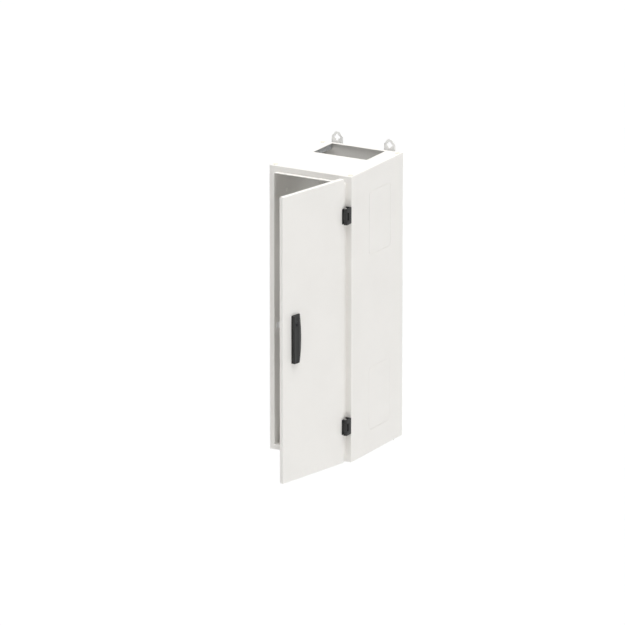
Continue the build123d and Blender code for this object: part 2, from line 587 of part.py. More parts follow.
with BuildPart() as load_contacts:
    for x in POLES:
        for cheek in (-1, 1):
            edge = sorted((x + cheek * 2.6, x + cheek * 4.8))
            box(edge[0], edge[1], SHAFT_Y - 8, SHAFT_Y + 8, SHAFT_Z - 24, SHAFT_Z - 7.6)
        box(x - 4.8, x + 4.8, SHAFT_Y - 8, SHAFT_Y + 8, SHAFT_Z - 32, SHAFT_Z - 22)
        box(x - 9, x + 9, SHAFT_Y - 2, SHAFT_Y + 2, SWITCH_Z0 - TAB_OUT, SHAFT_Z - 30)
        rod(x, SHAFT_Y - 4, SWITCH_Z0 - TAB_OUT + 11, 4.3, 8, "y", Mode.SUBTRACT)
save(load_contacts.part, "load_contacts")

with BuildPart() as terminal_bolts:
    for x in POLES:
        for y, z in ((SHAFT_Y - 36, SWITCH_Z1 + TAB_OUT - 11),
                     (SHAFT_Y + 32, SWITCH_Z1 + TAB_OUT + 9),
                     (SHAFT_Y - 2, SWITCH_Z0 - TAB_OUT + 11)):
            rod(x, y - 1.6, z, 8.5, 1.6, "y")
            hexagon(x, y - 6.9, z, 13, 5.3, "y")
            rod(x, y - 2, z, 4, 8, "y")
            hexagon(x, y + 4, z, 13, 6, "y")
save(terminal_bolts.part, "terminal_bolts")

with BuildPart() as phase_barriers:
    for x in (-99.0, -69.0, -39.0, -9.0, 21.0):
        box(x - 1, x + 1, SWITCH_FRONT + 14, PLATE_FRONT - 2, SWITCH_Z1, SWITCH_Z1 + 24)
        box(x - 1, x + 1, SWITCH_FRONT + 14, PLATE_FRONT - 2, SWITCH_Z0 - 20, SWITCH_Z0)
save(phase_barriers.part, "phase_barriers")

# ---------------------------------------------------------------- rotor, blades and drive
with BuildPart() as rotor_shaft:
    rod(-101.5, SHAFT_Y, SHAFT_Z, 7, 198, "x")
    for x in (-69.0, -39.0, -9.0, 21.0):
        rod(x - 8, SHAFT_Y, SHAFT_Z, 9.5, 5.5, "x")
        rod(x + 2.5, SHAFT_Y, SHAFT_Z, 9.5, 5.5, "x")
save(rotor_shaft.part, "rotor_shaft")

with BuildPart() as contact_blades:
    for x in POLES:
        rod(x - 2, SHAFT_Y, SHAFT_Z, 12, 4, "x")
        box(x - 2, x + 2, SHAFT_Y - 7, SHAFT_Y + 7, SHAFT_Z, SHAFT_Z + 40)
        rod(x - 2, SHAFT_Y, SHAFT_Z + 37, 7, 4, "x")
        rod(x - 3, SHAFT_Y, SHAFT_Z, 7.03, 6, "x", Mode.SUBTRACT)
save(contact_blades.part, "contact_blades")


def gear_points(teeth, thickness_share, phase):
    """Outline of an involute gear as points round its axis."""
    pitch = GEAR_MODULE * teeth / 2
    base = pitch * math.cos(math.radians(25))
    tip = pitch + 0.75 * GEAR_MODULE
    root = pitch - 0.95 * GEAR_MODULE
    roll_at = lambda r: math.sqrt(max((r / base) ** 2 - 1, 0))
    involute = lambda r: roll_at(r) - math.atan(roll_at(r))
    half = math.pi * thickness_share / teeth
    points = []
    for tooth in range(teeth):
        centre = phase + 2 * math.pi * tooth / teeth
        flank = []
        for step in range(5):
            r = root + (tip - root) * step / 4
            spread = half + involute(pitch) - involute(max(r, base))
            flank.append((r, spread))
        for r, spread in flank:
            points.append((r * math.cos(centre - spread), r * math.sin(centre - spread)))
        for r, spread in reversed(flank):
            points.append((r * math.cos(centre + spread), r * math.sin(centre + spread)))
    return points


GEAR_X = 62.0
GEAR_WIDTH = 8.0
with BuildPart() as drive_gear:
    with BuildSketch(Plane((GEAR_X, SHAFT_Y, SHAFT_Z), (0, 1, 0), (1, 0, 0))):
        with BuildLine():
            Polyline(*gear_points(GEAR_TEETH, 0.44, -math.pi / 2), close=True)
        make_face()
        Circle(7.03, mode=Mode.SUBTRACT)
        with PolarLocations(20, 5):
            Circle(5, mode=Mode.SUBTRACT)
    extrude(amount=GEAR_WIDTH)
save(drive_gear.part, "drive_gear")

with BuildPart() as motor_pinion:
    gap_phase = math.pi / 2 + math.pi / PINION_TEETH
    with BuildSketch(Plane((GEAR_X - 1, SHAFT_Y, PINION_Z), (0, 1, 0), (1, 0, 0))):
        with BuildLine():
            Polyline(*gear_points(PINION_TEETH, 0.44, gap_phase), close=True)
        make_face()
    extrude(amount=GEAR_WIDTH + 2)
    rod(GEAR_X - 6, SHAFT_Y, PINION_Z, 3, 6, "x")
save(motor_pinion.part, "motor_pinion")

with BuildPart() as drive_motor:
    rod(26, SHAFT_Y, PINION_Z, 15.5, 25, "x")
    rod(51, SHAFT_Y, PINION_Z, 11, 3.5, "x")
    rod(50, SHAFT_Y, PINION_Z, 3.06, 6, "x", Mode.SUBTRACT)
    box(28, 48, SHAFT_Y + 12, PLATE_FRONT - 4, PINION_Z - 10, PINION_Z + 10)
save(drive_motor.part, "drive_motor")

LEVER_X = (81.5, 91.5)
with BuildPart() as manual_lever:
    rod(LEVER_X[0], SHAFT_Y, SHAFT_Z, 13, LEVER_X[1] - LEVER_X[0], "x")
    box(LEVER_X[0], LEVER_X[1], SHAFT_Y - 92, SHAFT_Y, SHAFT_Z - 5, SHAFT_Z + 5)
    rod(LEVER_X[0] - 1, SHAFT_Y, SHAFT_Z, 7.03, 13, "x", Mode.SUBTRACT)
save(manual_lever.part, "manual_lever")

with BuildPart() as lever_grip:
    rod((LEVER_X[0] + LEVER_X[1]) / 2, SHAFT_Y - 140, SHAFT_Z, 11, 50, "y")
    fillet(lever_grip.edges().filter_by(GeomType.CIRCLE), 4)
    box(LEVER_X[0], LEVER_X[1], SHAFT_Y - 92, SHAFT_Y - 80, SHAFT_Z - 5, SHAFT_Z + 5,
        mode=Mode.SUBTRACT)
save(lever_grip.part, "lever_grip")

# ---------------------------------------------------------------- controller
CTRL_Z = (148.0, 242.0)
CTRL_FRONT = RAIL_FACE - 62
BUTTONS = (-36.0, -12.0, 12.0, 36.0)
BUTTON_Z = CTRL_Z[0] + 16
STROKE = 1.5
with BuildPart() as controller_body:
    box(-66, 66, CTRL_FRONT, RAIL_FACE, CTRL_Z[0], CTRL_Z[1])
    fillet(controller_body.edges().filter_by(Axis.Y), 4)
    chamfer(controller_body.edges().group_by(Axis.Y)[0], 1.5)
    box(-50, 50, CTRL_FRONT - 1, CTRL_FRONT + 2.5, CTRL_Z[0] + 36, CTRL_Z[1] - 12,
        mode=Mode.SUBTRACT)
    for x in BUTTONS:
        rod(x, CTRL_FRONT - 1, BUTTON_Z, 6.3, 9, "y", Mode.SUBTRACT)
    for x in (-56, 56):
        rod(x, CTRL_FRONT - 1, BUTTON_Z, 2.6, 4, "y", Mode.SUBTRACT)
save(controller_body.part, "controller_body")

with BuildPart() as controller_window:
    box(-49.8, 49.8, CTRL_FRONT + 0.4, CTRL_FRONT + 2.5, CTRL_Z[0] + 36.2, CTRL_Z[1] - 12.2)
save(controller_window.part, "controller_window")

with BuildPart() as status_lamps:
    for x in (-56, 56):
        rod(x, CTRL_FRONT - 1, BUTTON_Z, 2.55, 4, "y")
save(status_lamps.part, "status_lamps")

for index, x in enumerate(BUTTONS, start=1):
    with BuildPart() as push_button:
        rod(x, CTRL_FRONT - 2.2, BUTTON_Z, 6.0, 8, "y")
        fillet(push_button.edges().group_by(Axis.Y)[0], 1.0)
    save(push_button.part, f"push_button_{index}")

# ---------------------------------------------------------------- control breakers
BREAKER_X = (-76.0, -40.0)
BREAKER_Z = 95.0
NOSE_FRONT = RAIL_FACE - 66
TOGGLE_Y = NOSE_FRONT + 5.5
with BuildPart() as control_breakers:
    for x in BREAKER_X:
        box(x - 17.8, x + 17.8, RAIL_FACE - 48, RAIL_FACE, BREAKER_Z - 42, BREAKER_Z + 42)
        box(x - 17.8, x + 17.8, NOSE_FRONT, RAIL_FACE - 48, BREAKER_Z - 22.5, BREAKER_Z + 22.5)
        box(x - 12, x + 12, NOSE_FRONT - 1, NOSE_FRONT + 15, BREAKER_Z - 11, BREAKER_Z + 11,
            mode=Mode.SUBTRACT)
        box(x - 0.4, x + 0.4, RAIL_FACE - 70, RAIL_FACE - 40, BREAKER_Z + 12, BREAKER_Z + 50,
            mode=Mode.SUBTRACT)
        for dx in (-9, 9):
            for dz in (-34, 34):
                rod(x + dx, RAIL_FACE - 49, BREAKER_Z + dz, 3.6, 12, "y", Mode.SUBTRACT)
save(control_breakers.part, "control_breakers")

for index, x in enumerate(BREAKER_X, start=1):
    with BuildPart() as toggle:
        rod(x - 11.5, TOGGLE_Y, BREAKER_Z, 8.5, 23, "x")
        with BuildSketch(Plane((x - 11.5, TOGGLE_Y, BREAKER_Z), (0, 1, 0), (1, 0, 0))):
            with BuildLine():
                Polyline((-5, -6.5), (-10.5, -15.5), (-13, -14), (-8.2, -1.5), (0, 0),
                         close=True)
            make_face()
        extrude(amount=23)
    save(toggle.part, f"breaker_toggle_{index}")

with BuildPart() as voltage_relays:
    for x in (2.0, 25.5, 49.0):
        box(x - 11.2, x + 11.2, RAIL_FACE - 58, RAIL_FACE, BREAKER_Z - 42, BREAKER_Z + 42)
        for dz in (-16, 0, 16):
            rod(x, RAIL_FACE - 59, BREAKER_Z + dz, 4.2, 2.5, "y", Mode.SUBTRACT)
            box(x - 3, x + 3, RAIL_FACE - 57.6, RAIL_FACE - 56, BREAKER_Z + dz - 0.8,
                BREAKER_Z + dz + 0.8)
save(voltage_relays.part, "voltage_relays")

# ---------------------------------------------------------------- terminals and bars
with BuildPart() as terminal_blocks:
    for step in range(12):
        x = -60 + 9.0 * step
        with BuildSketch(Plane((x - 4.2, RAIL_FACE, -290), (0, 1, 0), (1, 0, 0))):
            with BuildLine():
                Polyline((0, -24), (-18, -24), (-32, -15), (-32, 15), (-18, 24), (0, 24),
                         close=True)
            make_face()
        extrude(amount=8.4)
        for dz in (-11, 11):
            rod(x, RAIL_FACE - 33, -290 + dz, 2.6, 8, "y", Mode.SUBTRACT)
save(terminal_blocks.part, "terminal_blocks")

BAR_ZS = (-340.0, -370.0)
with BuildPart() as bar_supports:
    for z in BAR_ZS:
        for x in (-95, 95):
            rod(x, PLATE_FRONT - 28, z, 8, 28, "y")
            rod(x, PLATE_FRONT - 22, z, 10, 4, "y")
            rod(x, PLATE_FRONT - 12, z, 10, 4, "y")
save(bar_supports.part, "bar_supports")

with BuildPart() as neutral_and_earth_bars:
    for z in BAR_ZS:
        box(-105, 105, PLATE_FRONT - 36, PLATE_FRONT - 28, z - 6, z + 6)
        for step in range(12):
            rod(-77 + 14 * step, PLATE_FRONT - 40, z, 2.6, 14, "y", Mode.SUBTRACT)
save(neutral_and_earth_bars.part, "neutral_and_earth_bars")

with BuildPart() as bar_screws:
    for z in BAR_ZS:
        for step in range(12):
            x = -77 + 14 * step
            rod(x, PLATE_FRONT - 36, z, 2.5, 8, "y")
            rod(x, PLATE_FRONT - 39.5, z, 4.2, 3.5, "y")
            box(x - 0.6, x + 0.6, PLATE_FRONT - 40, PLATE_FRONT - 38.2, z - 5, z + 5,
                mode=Mode.SUBTRACT)
        for x in (-95, 95):
            hexagon(x, PLATE_FRONT - 40, z, 10, 4, "y")
save(bar_screws.part, "bar_screws")

EARTH_X = -118.0
EARTH_Y = FRONT + 120
with BuildPart() as earth_stud:
    rod(EARTH_X, EARTH_Y, -TOP + SHEET, 4, 28, "z")
    hexagon(EARTH_X, EARTH_Y, -TOP + SHEET, 13, 5, "z")
save(earth_stud.part, "earth_stud")
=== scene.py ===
# %% [markdown]
# # A wall cabinet for an automatic transfer switch
# The steel cabinet, its door and the switchgear arrive as a finished set of solid parts.
# This script gives each of them its finish, models the small moulded pieces that need softer
# shapes than a solid modeller gives, and sets up the light and the camera.

# %% Load the solid parts
import json
import math

import bmesh
import bpy
from mathutils import Matrix, Vector


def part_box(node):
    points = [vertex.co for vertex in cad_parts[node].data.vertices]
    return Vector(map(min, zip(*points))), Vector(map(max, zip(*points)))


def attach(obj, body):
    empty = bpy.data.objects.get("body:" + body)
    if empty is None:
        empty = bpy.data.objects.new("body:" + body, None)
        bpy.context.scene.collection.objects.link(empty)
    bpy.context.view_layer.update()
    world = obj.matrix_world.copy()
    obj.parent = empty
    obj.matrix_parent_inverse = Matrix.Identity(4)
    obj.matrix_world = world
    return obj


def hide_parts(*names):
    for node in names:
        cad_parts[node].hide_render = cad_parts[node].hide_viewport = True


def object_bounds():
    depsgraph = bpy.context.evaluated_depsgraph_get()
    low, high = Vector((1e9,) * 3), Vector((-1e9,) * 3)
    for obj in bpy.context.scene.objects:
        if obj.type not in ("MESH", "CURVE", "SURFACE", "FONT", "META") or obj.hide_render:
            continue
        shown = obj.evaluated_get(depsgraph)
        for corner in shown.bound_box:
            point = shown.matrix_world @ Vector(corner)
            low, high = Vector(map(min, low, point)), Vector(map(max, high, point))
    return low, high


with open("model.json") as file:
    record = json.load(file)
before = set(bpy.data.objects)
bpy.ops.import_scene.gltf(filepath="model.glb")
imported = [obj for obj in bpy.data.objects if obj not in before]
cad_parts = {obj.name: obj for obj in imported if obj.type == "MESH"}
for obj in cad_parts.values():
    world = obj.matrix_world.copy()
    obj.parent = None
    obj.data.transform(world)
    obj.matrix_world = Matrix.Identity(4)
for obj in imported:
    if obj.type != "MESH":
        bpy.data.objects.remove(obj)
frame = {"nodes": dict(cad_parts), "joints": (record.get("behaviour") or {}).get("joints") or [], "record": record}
cad_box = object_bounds()
MM = 0.001
TOUCHING = 0.00001
joints = {joint["name"]: joint for joint in frame["joints"]}
print("parts loaded:", len(frame["nodes"]))

# %% [markdown]
# ## Two helpers for finishes
# A finish is a node tree. Writing "noise * 0.2 + 0.4" is easier to read than three nodes and
# four links, so a wire stands for one output socket and knows how to add, subtract and
# multiply. Every other kind of node comes from one method, which sets the node's own
# settings first and its inputs after them.

# %% Wires and finishes


class Wire:
    """One output socket that can be used in sums."""

    def __init__(self, finish, socket):
        self.finish = finish
        self.socket = socket

    def sum(self, operation, first, second):
        return self.finish.node("ShaderNodeMath", {"operation": operation}, {0: first, 1: second})

    def __add__(self, other):
        return self.sum("ADD", self, other)

    def __radd__(self, other):
        return self.sum("ADD", other, self)

    def __sub__(self, other):
        return self.sum("SUBTRACT", self, other)

    def __rsub__(self, other):
        return self.sum("SUBTRACT", other, self)

    def __mul__(self, other):
        return self.sum("MULTIPLY", self, other)

    def __rmul__(self, other):
        return self.sum("MULTIPLY", other, self)


class Finish:
    """A material built in code around one Principled shader."""

    def __init__(self, name, **constants):
        self.material = bpy.data.materials.new(name)
        self.material.use_nodes = True
        self.tree = self.material.node_tree
        self.tree.nodes.clear()
        self.output = self.tree.nodes.new("ShaderNodeOutputMaterial")
        self.shader = self.tree.nodes.new("ShaderNodeBsdfPrincipled")
        self.tree.links.new(self.shader.outputs[0], self.output.inputs[0])
        for socket, value in constants.items():
            self.shader.inputs[socket.replace("_", " ")].default_value = value
        self.place = self.node("ShaderNodeTexCoord", {}, {}, "Object")

    def plug(self, socket, value):
        if isinstance(value, Wire):
            self.tree.links.new(value.socket, socket)
        else:
            socket.default_value = value

    def node(self, kind, settings, inputs, output=0):
        made = self.tree.nodes.new(kind)
        for setting, value in settings.items():
            if setting == "stops":
                ramp = made.color_ramp.elements
                ramp[0].position, ramp[0].color = value[0]
                ramp[1].position, ramp[1].color = value[-1]
                for position, colour in value[1:-1]:
                    ramp.new(position).color = colour
            else:
                setattr(made, setting, value)
        for name, value in inputs.items():
            self.plug(made.inputs[name], value)
        return Wire(self, made.outputs[output])

    def noise(self, scale, detail=3.0, roughness=0.5, stretch=(1, 1, 1)):
        where = self.place
        if stretch != (1, 1, 1):
            where = self.node("ShaderNodeMapping", {}, {"Vector": where, "Scale": stretch})
        return self.node("ShaderNodeTexNoise", {}, {"Vector": where, "Scale": scale,
                         "Detail": detail, "Roughness": roughness})

    def spots(self, scale, output="Distance"):
        return self.node("ShaderNodeTexVoronoi", {}, {"Vector": self.place, "Scale": scale}, output)

    def ramp(self, value, low, high):
        return self.node("ShaderNodeMapRange", {}, {"Value": value, "From Min": low,
                         "From Max": high})

    def blend(self, amount, first, second):
        return self.node("ShaderNodeMix", {"data_type": "RGBA"}, {0: amount, 6: first, 7: second}, 2)

    def wear(self, radius):
        """About 1 on outer corners and edges, 0 on flat ground."""
        bent = self.node("ShaderNodeBevel", {"samples": 4}, {"Radius": radius})
        flat = self.node("ShaderNodeNewGeometry", {}, {}, "Normal")
        turn = self.node("ShaderNodeVectorMath", {"operation": "DOT_PRODUCT"},
                         {0: bent, 1: flat}, "Value")
        return 1 - turn

    def set(self, socket, value):
        self.plug(self.shader.inputs[socket], value)

    def bump(self, height, strength, distance):
        self.set("Normal", self.node("ShaderNodeBump", {}, {"Height": height,
                 "Strength": strength, "Distance": distance}))


def tint(red, green, blue):
    return (red, green, blue, 1.0)


# %% [markdown]
# ## Powder coat
# The cabinet is sheet steel with a baked powder coat. Powder melts into a film that is never
# quite flat: it has an orange-peel ripple a millimetre or two across and a finer grain on it.
# The colour is nearly even, a little greyer where hands and dust have been. A faint change in
# roughness is what makes it read as paint and not as paper.

# %% Powder coat


def powder_coat(name, colour, dirt, peel=0.25):
    finish = Finish(name, IOR=1.5)
    cloud = finish.noise(7.0, 4.0, 0.55)
    speck = finish.noise(260.0, 2.0, 0.6)
    ripple = finish.noise(620.0, 2.0, 0.5)
    grain = finish.noise(2400.0, 2.0, 0.6)
    dusty = finish.ramp(cloud, 0.42, 0.85) * 0.55 + speck * 0.06
    finish.set("Base Color", finish.blend(dusty, tint(*colour), tint(*dirt)))
    finish.set("Roughness", cloud * 0.10 + speck * 0.08 + 0.36)
    finish.bump(ripple * 0.7 + grain * 0.3, peel, 0.00022)
    return finish.material


white_coat = powder_coat("white_powder_coat", (0.89, 0.872, 0.838), (0.84, 0.822, 0.788))
lug_coat = powder_coat("lug_coat", (0.89, 0.885, 0.87), (0.80, 0.795, 0.78), 0.4)
print("powder coats made")

# %% [markdown]
# ## Moulded plastics
# Moulded parts take the texture of their mould, a fine even grain that scatters highlights.
# Edges that fingers rub become smoother and a little lighter. One recipe covers black, grey
# and coloured mouldings, with the colour and the coarseness of the grain as its settings.

# %% Moulded plastics


def moulded(name, colour, worn, rough=0.5, grain_scale=1900.0, grain_depth=0.35, coat=0.0):
    finish = Finish(name, IOR=1.48, Coat_Weight=coat, Coat_Roughness=0.25)
    cloud = finish.noise(38.0, 3.0, 0.6)
    grain = finish.noise(grain_scale, 2.0, 0.65)
    pits = finish.spots(grain_scale * 0.55)
    rubbed = finish.ramp(finish.wear(0.0009), 0.02, 0.35)
    shade = finish.ramp(cloud, 0.35, 0.75) * 0.35 + rubbed * 0.5
    finish.set("Base Color", finish.blend(shade, tint(*colour), tint(*worn)))
    finish.set("Roughness", rough + cloud * 0.12 - rubbed * 0.12)
    finish.bump(grain * 0.6 + pits * 0.4, grain_depth, 0.00012)
    return finish.material


black_moulding = moulded("black_moulding", (0.016, 0.0165, 0.0165), (0.040, 0.041, 0.041), 0.48)
cap_moulding = moulded("cream_moulding", (0.78, 0.75, 0.66), (0.86, 0.84, 0.77), 0.42)
switch_moulding = moulded("switch_moulding", (0.070, 0.073, 0.080), (0.13, 0.135, 0.145), 0.52)
duct_moulding = moulded("duct_moulding", (0.44, 0.46, 0.47), (0.56, 0.57, 0.58), 0.50)
breaker_moulding = moulded("breaker_moulding", (0.74, 0.74, 0.71), (0.82, 0.82, 0.79), 0.40)
case_moulding = moulded("controller_moulding", (0.15, 0.16, 0.175), (0.24, 0.25, 0.27), 0.48)
red_moulding = moulded("red_button", (0.55, 0.030, 0.020), (0.68, 0.09, 0.07), 0.30, coat=0.4)
green_moulding = moulded("green_button", (0.035, 0.32, 0.09), (0.08, 0.42, 0.16), 0.30, coat=0.4)
grey_moulding = moulded("grey_button", (0.55, 0.56, 0.56), (0.68, 0.69, 0.69), 0.32, coat=0.4)
print("mouldings made")

# %% [markdown]
# ## Bare metals
# Hot-dip galvanising leaves spangles, flat crystals a few millimetres across that each catch
# the light their own way, so both colour and roughness jump from cell to cell. Zinc-plated
# screws are brighter and finer, with faint rolling lines. Copper bars are drawn, so their lines
# run one way, and they darken in patches.

# %% Bare metals


def galvanised(name):
    finish = Finish(name, Metallic=1.0)
    spangle = finish.spots(165.0, "Color")
    level = finish.node("ShaderNodeSeparateColor", {}, {0: spangle}, 0)
    streak = finish.noise(60.0, 3.0, 0.6, (1, 1, 0.15))
    finish.set("Base Color", finish.blend(level * 0.7 + streak * 0.3, tint(0.56, 0.58, 0.60),
                                          tint(0.78, 0.80, 0.82)))
    finish.set("Roughness", level * 0.18 + streak * 0.12 + 0.34)
    finish.bump(level, 0.10, 0.0001)
    return finish.material


def plated(name, colour, shade, rough, stretch=(1, 1, 1), metallic=1.0):
    finish = Finish(name, Metallic=metallic)
    lines = finish.noise(900.0, 3.0, 0.6, stretch)
    cloud = finish.noise(45.0, 3.0, 0.6)
    finish.set("Base Color", finish.blend(cloud * 0.6 + lines * 0.3, tint(*shade), tint(*colour)))
    finish.set("Roughness", lines * 0.14 + cloud * 0.10 + rough)
    finish.bump(lines, 0.18, 0.00006)
    return finish.material


zinc_sheet = galvanised("galvanised_sheet")
zinc_screw = plated("zinc_plate", (0.78, 0.78, 0.76), (0.50, 0.50, 0.50), 0.24)
lock_gunmetal = plated("lock_gunmetal", (0.085, 0.086, 0.090), (0.040, 0.040, 0.042), 0.32)
copper_bar = plated("drawn_copper", (0.86, 0.49, 0.33), (0.55, 0.27, 0.17), 0.24, (0.12, 1, 1))
# The latch keeper's zinc is near-white and only half metallic. This is a painted reflection, so the keeper shows
# bright as if it mirrored the white room.
satin_zinc = plated("satin_zinc", (0.93, 0.93, 0.92), (0.78, 0.78, 0.78), 0.42, metallic=0.45)
black_screw = plated("black_oxide_screw", (0.060, 0.060, 0.062), (0.025, 0.025, 0.026), 0.40)
motor_shell = plated("motor_shell", (0.30, 0.31, 0.33), (0.16, 0.17, 0.18), 0.36)
print("metals made")

# %% [markdown]
# ## Foam, window and lamps
# The door seal is foam poured in a bead, full of closed pores. The controller's window is a
# dark tinted sheet with a lit display behind it, and the lamps are moulded lenses with rings.

# %% Foam, window and lamps


def foam(name):
    finish = Finish(name, IOR=1.45)
    pores = finish.spots(1500.0)
    swell = finish.noise(140.0, 3.0, 0.6)
    finish.set("Base Color", finish.blend(pores * 0.6 + swell * 0.3, tint(0.020, 0.020, 0.022),
                                          tint(0.075, 0.075, 0.08)))
    finish.set("Roughness", 0.78 + swell * 0.15)
    finish.bump(pores, 0.7, 0.0003)
    return finish.material


def tinted_window(name):
    finish = Finish(name, IOR=1.5, Coat_Weight=0.6, Coat_Roughness=0.05)
    smear = finish.noise(55.0, 4.0, 0.6)
    finish.set("Base Color", finish.blend(smear, tint(0.010, 0.016, 0.018), tint(0.022, 0.032, 0.034)))
    finish.set("Roughness", smear * 0.14 + 0.06)
    finish.bump(smear, 0.05, 0.0001)
    return finish.material


def lens(name, colour, glow):
    finish = Finish(name, IOR=1.5, Coat_Weight=0.5, Emission_Strength=0.6)
    rings = finish.noise(500.0, 2.0, 0.5)
    finish.set("Base Color", finish.blend(rings * 0.5, tint(*colour), tint(*glow)))
    finish.set("Emission Color", finish.blend(rings, tint(*colour), tint(*glow)))
    finish.set("Roughness", rings * 0.15 + 0.10)
    return finish.material


seal_foam = foam("seal_foam")
display_window = tinted_window("display_window")
lamp_lens = lens("lamp_lens", (0.05, 0.45, 0.10), (0.20, 0.85, 0.30))
lit_lines = lens("lit_lines", (0.25, 0.65, 0.62), (0.50, 0.95, 0.88))

FINISHES = {
    "white_coat": white_coat, "lug_coat": lug_coat, "cap_plastic": cap_moulding,
    "black_plastic": black_moulding, "switch_plastic": switch_moulding,
    "grey_plastic": duct_moulding, "light_plastic": breaker_moulding,
    "galvanised": zinc_sheet, "zinc_steel": zinc_screw, "lock_metal": lock_gunmetal,
    "copper": copper_bar, "motor_metal": motor_shell, "window": display_window,
    "lamps": lamp_lens, "gasket_foam": seal_foam, "button_red": red_moulding,
    "button_green": green_moulding, "button_grey": grey_moulding,
}


def dress(piece, finish):
    piece.data.materials.clear()
    piece.data.materials.append(finish)


for row in frame["record"]["subparts"]:
    dress(frame["nodes"][row["node"]], FINISHES[row["material_slot"]])
dress(frame["nodes"]["controller_body"], case_moulding)

# %% [markdown]
# ## Helpers for modelling by hand
# The moulded pieces below start as a primitive and are shaped in edit mode, as they would be
# with the mouse. Selecting in code needs a rule for which vertices, edges or faces to take, and
# here the rule is a test on the place of their middle and the way they face.

# %% Selecting and shaping


def clear_selection():
    for item in bpy.context.selected_objects:
        item.select_set(False)


def begin(name, body, slot_name, *replaced):
    """Name the active piece, hang it on its body and give it its finish."""
    piece = bpy.context.active_object
    piece.name = name
    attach(piece, body)
    if replaced:
        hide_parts(*replaced)
    dress(piece, FINISHES[slot_name])
    return piece


def choose(piece, kind, test):
    """In edit mode, select only what passes a test on its middle and its normal."""
    bpy.context.tool_settings.mesh_select_mode = (kind == "verts", kind == "edges",
                                                  kind == "faces")
    bpy.ops.mesh.select_all(action="DESELECT")
    mesh = bmesh.from_edit_mesh(piece.data)
    for item in getattr(mesh, kind):
        points = [item] if kind == "verts" else item.verts
        middle = sum((point.co for point in points), Vector()) / len(points)
        facing = item.normal if kind != "edges" else Vector()
        if test(middle, facing):
            item.select_set(True)
    mesh.select_flush_mode()
    bmesh.update_edit_mesh(piece.data)


def finish_shape(piece, bevel=0.0, segments=2, angle=35.0):
    """Leave edit mode, round the edges, smooth by angle and write the place into the mesh."""
    if piece.mode == "EDIT":
        bpy.ops.object.mode_set(mode="OBJECT")
    bpy.ops.object.transform_apply(location=True, rotation=True, scale=True)
    if bevel:
        rounding = piece.modifiers.new("rounding", "BEVEL")
        rounding.width = bevel
        rounding.segments = segments
        rounding.limit_method = "ANGLE"
        rounding.angle_limit = math.radians(angle)
        bpy.ops.object.modifier_apply(modifier="rounding")
    bpy.ops.object.shade_smooth_by_angle(angle=math.radians(angle))


def copy_to(piece, name, move):
    """A copy with its own mesh, moved, on the same body and slot."""
    clear_selection()
    twin = piece.copy()
    twin.data = piece.data.copy()
    twin.name = name
    bpy.context.collection.objects.link(twin)
    twin.data.transform(Matrix.Translation(move))
    return twin


# %% [markdown]
# ## The door's own frame
# The door stands open, so anything on it is easier to model as if the door were shut and then
# swung. The lever's joint gives the point where the spindle meets the door's outer face and the
# way the spindle points. Local x runs towards the hinges, y into the door and z up.

# %% Door frame
turn = joints["handle_turn"]
into_door = Vector(turn["axis"]).normalized()
door_angle = math.atan2(-into_door.x, into_door.y)
on_door = Matrix.Translation(Vector(turn["pos_m"])) @ Matrix.Rotation(door_angle, 4, "Z")
print("door stands open at", round(math.degrees(door_angle), 1))

# %% [markdown]
# ## Roof caps
# The roof has a threaded fixing at each corner, and a push-in cap keeps dust out of it. The cap
# is a shallow dome with a flat rim. A cylinder is inset twice on its top face and lifted, and
# then its edges are rounded, which gives the soft step between rim and dome.

# %% Roof caps
cap_low, cap_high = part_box("roof_caps")
roof_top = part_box("roof_panel")[1][2]
CAP_RADIUS = 8 * MM
CAP_RIM = 1.2 * MM
cap_y = (cap_low[1] + CAP_RADIUS, cap_high[1] - CAP_RADIUS)
cap_x = (cap_low[0] + CAP_RADIUS, cap_high[0] - CAP_RADIUS)
count = 0
for x in cap_x:
    for y in cap_y:
        count += 1
        clear_selection()
        bpy.ops.mesh.primitive_cylinder_add(vertices=48, radius=CAP_RADIUS, depth=CAP_RIM,
                                            location=(x, y, roof_top + CAP_RIM / 2))
        cap = begin(f"roof_cap_{count}", "cabinet", "cap_plastic", "roof_caps")
        bpy.ops.object.mode_set(mode="EDIT")
        choose(cap, "faces", lambda middle, facing: facing.z > 0.9)
        bpy.ops.mesh.inset(thickness=1.6 * MM)
        bpy.ops.transform.translate(value=(0, 0, 1.1 * MM))
        bpy.ops.mesh.inset(thickness=2.4 * MM)
        bpy.ops.transform.translate(value=(0, 0, 0.6 * MM))
        finish_shape(cap, 0.5 * MM, 3, 25)
print("roof caps:", count)

# %% [markdown]
# ## Rounding the edges of the solid parts
# No moulded, stamped or bent part has a truly sharp edge, and it is the thin light line along
# a rounded edge that makes plastic and metal read as such. Each part listed is copied, its
# loose triangles are merged and dissolved into flat faces, and its sharp edges are rounded by
# an amount that suits how it is made: a moulding more, a stamping less.

# %% Rounded edges


def soften(node, body, slot_name, width, segments=2, angle=32.0):
    """A copy of a solid part that stands for it, with its sharp edges rounded."""
    clear_selection()
    source = frame["nodes"][node]
    twin = bpy.data.objects.new(node + "_rounded", source.data.copy())
    bpy.context.collection.objects.link(twin)
    twin.select_set(True)
    bpy.context.view_layer.objects.active = twin
    piece = begin(node + "_rounded", body, slot_name, node)
    bpy.ops.object.mode_set(mode="EDIT")
    bpy.ops.mesh.select_all(action="SELECT")
    bpy.ops.mesh.remove_doubles(threshold=TOUCHING)
    bpy.ops.mesh.dissolve_limited(angle_limit=math.radians(0.5))
    finish_shape(piece, width * MM, segments, angle)
    return piece


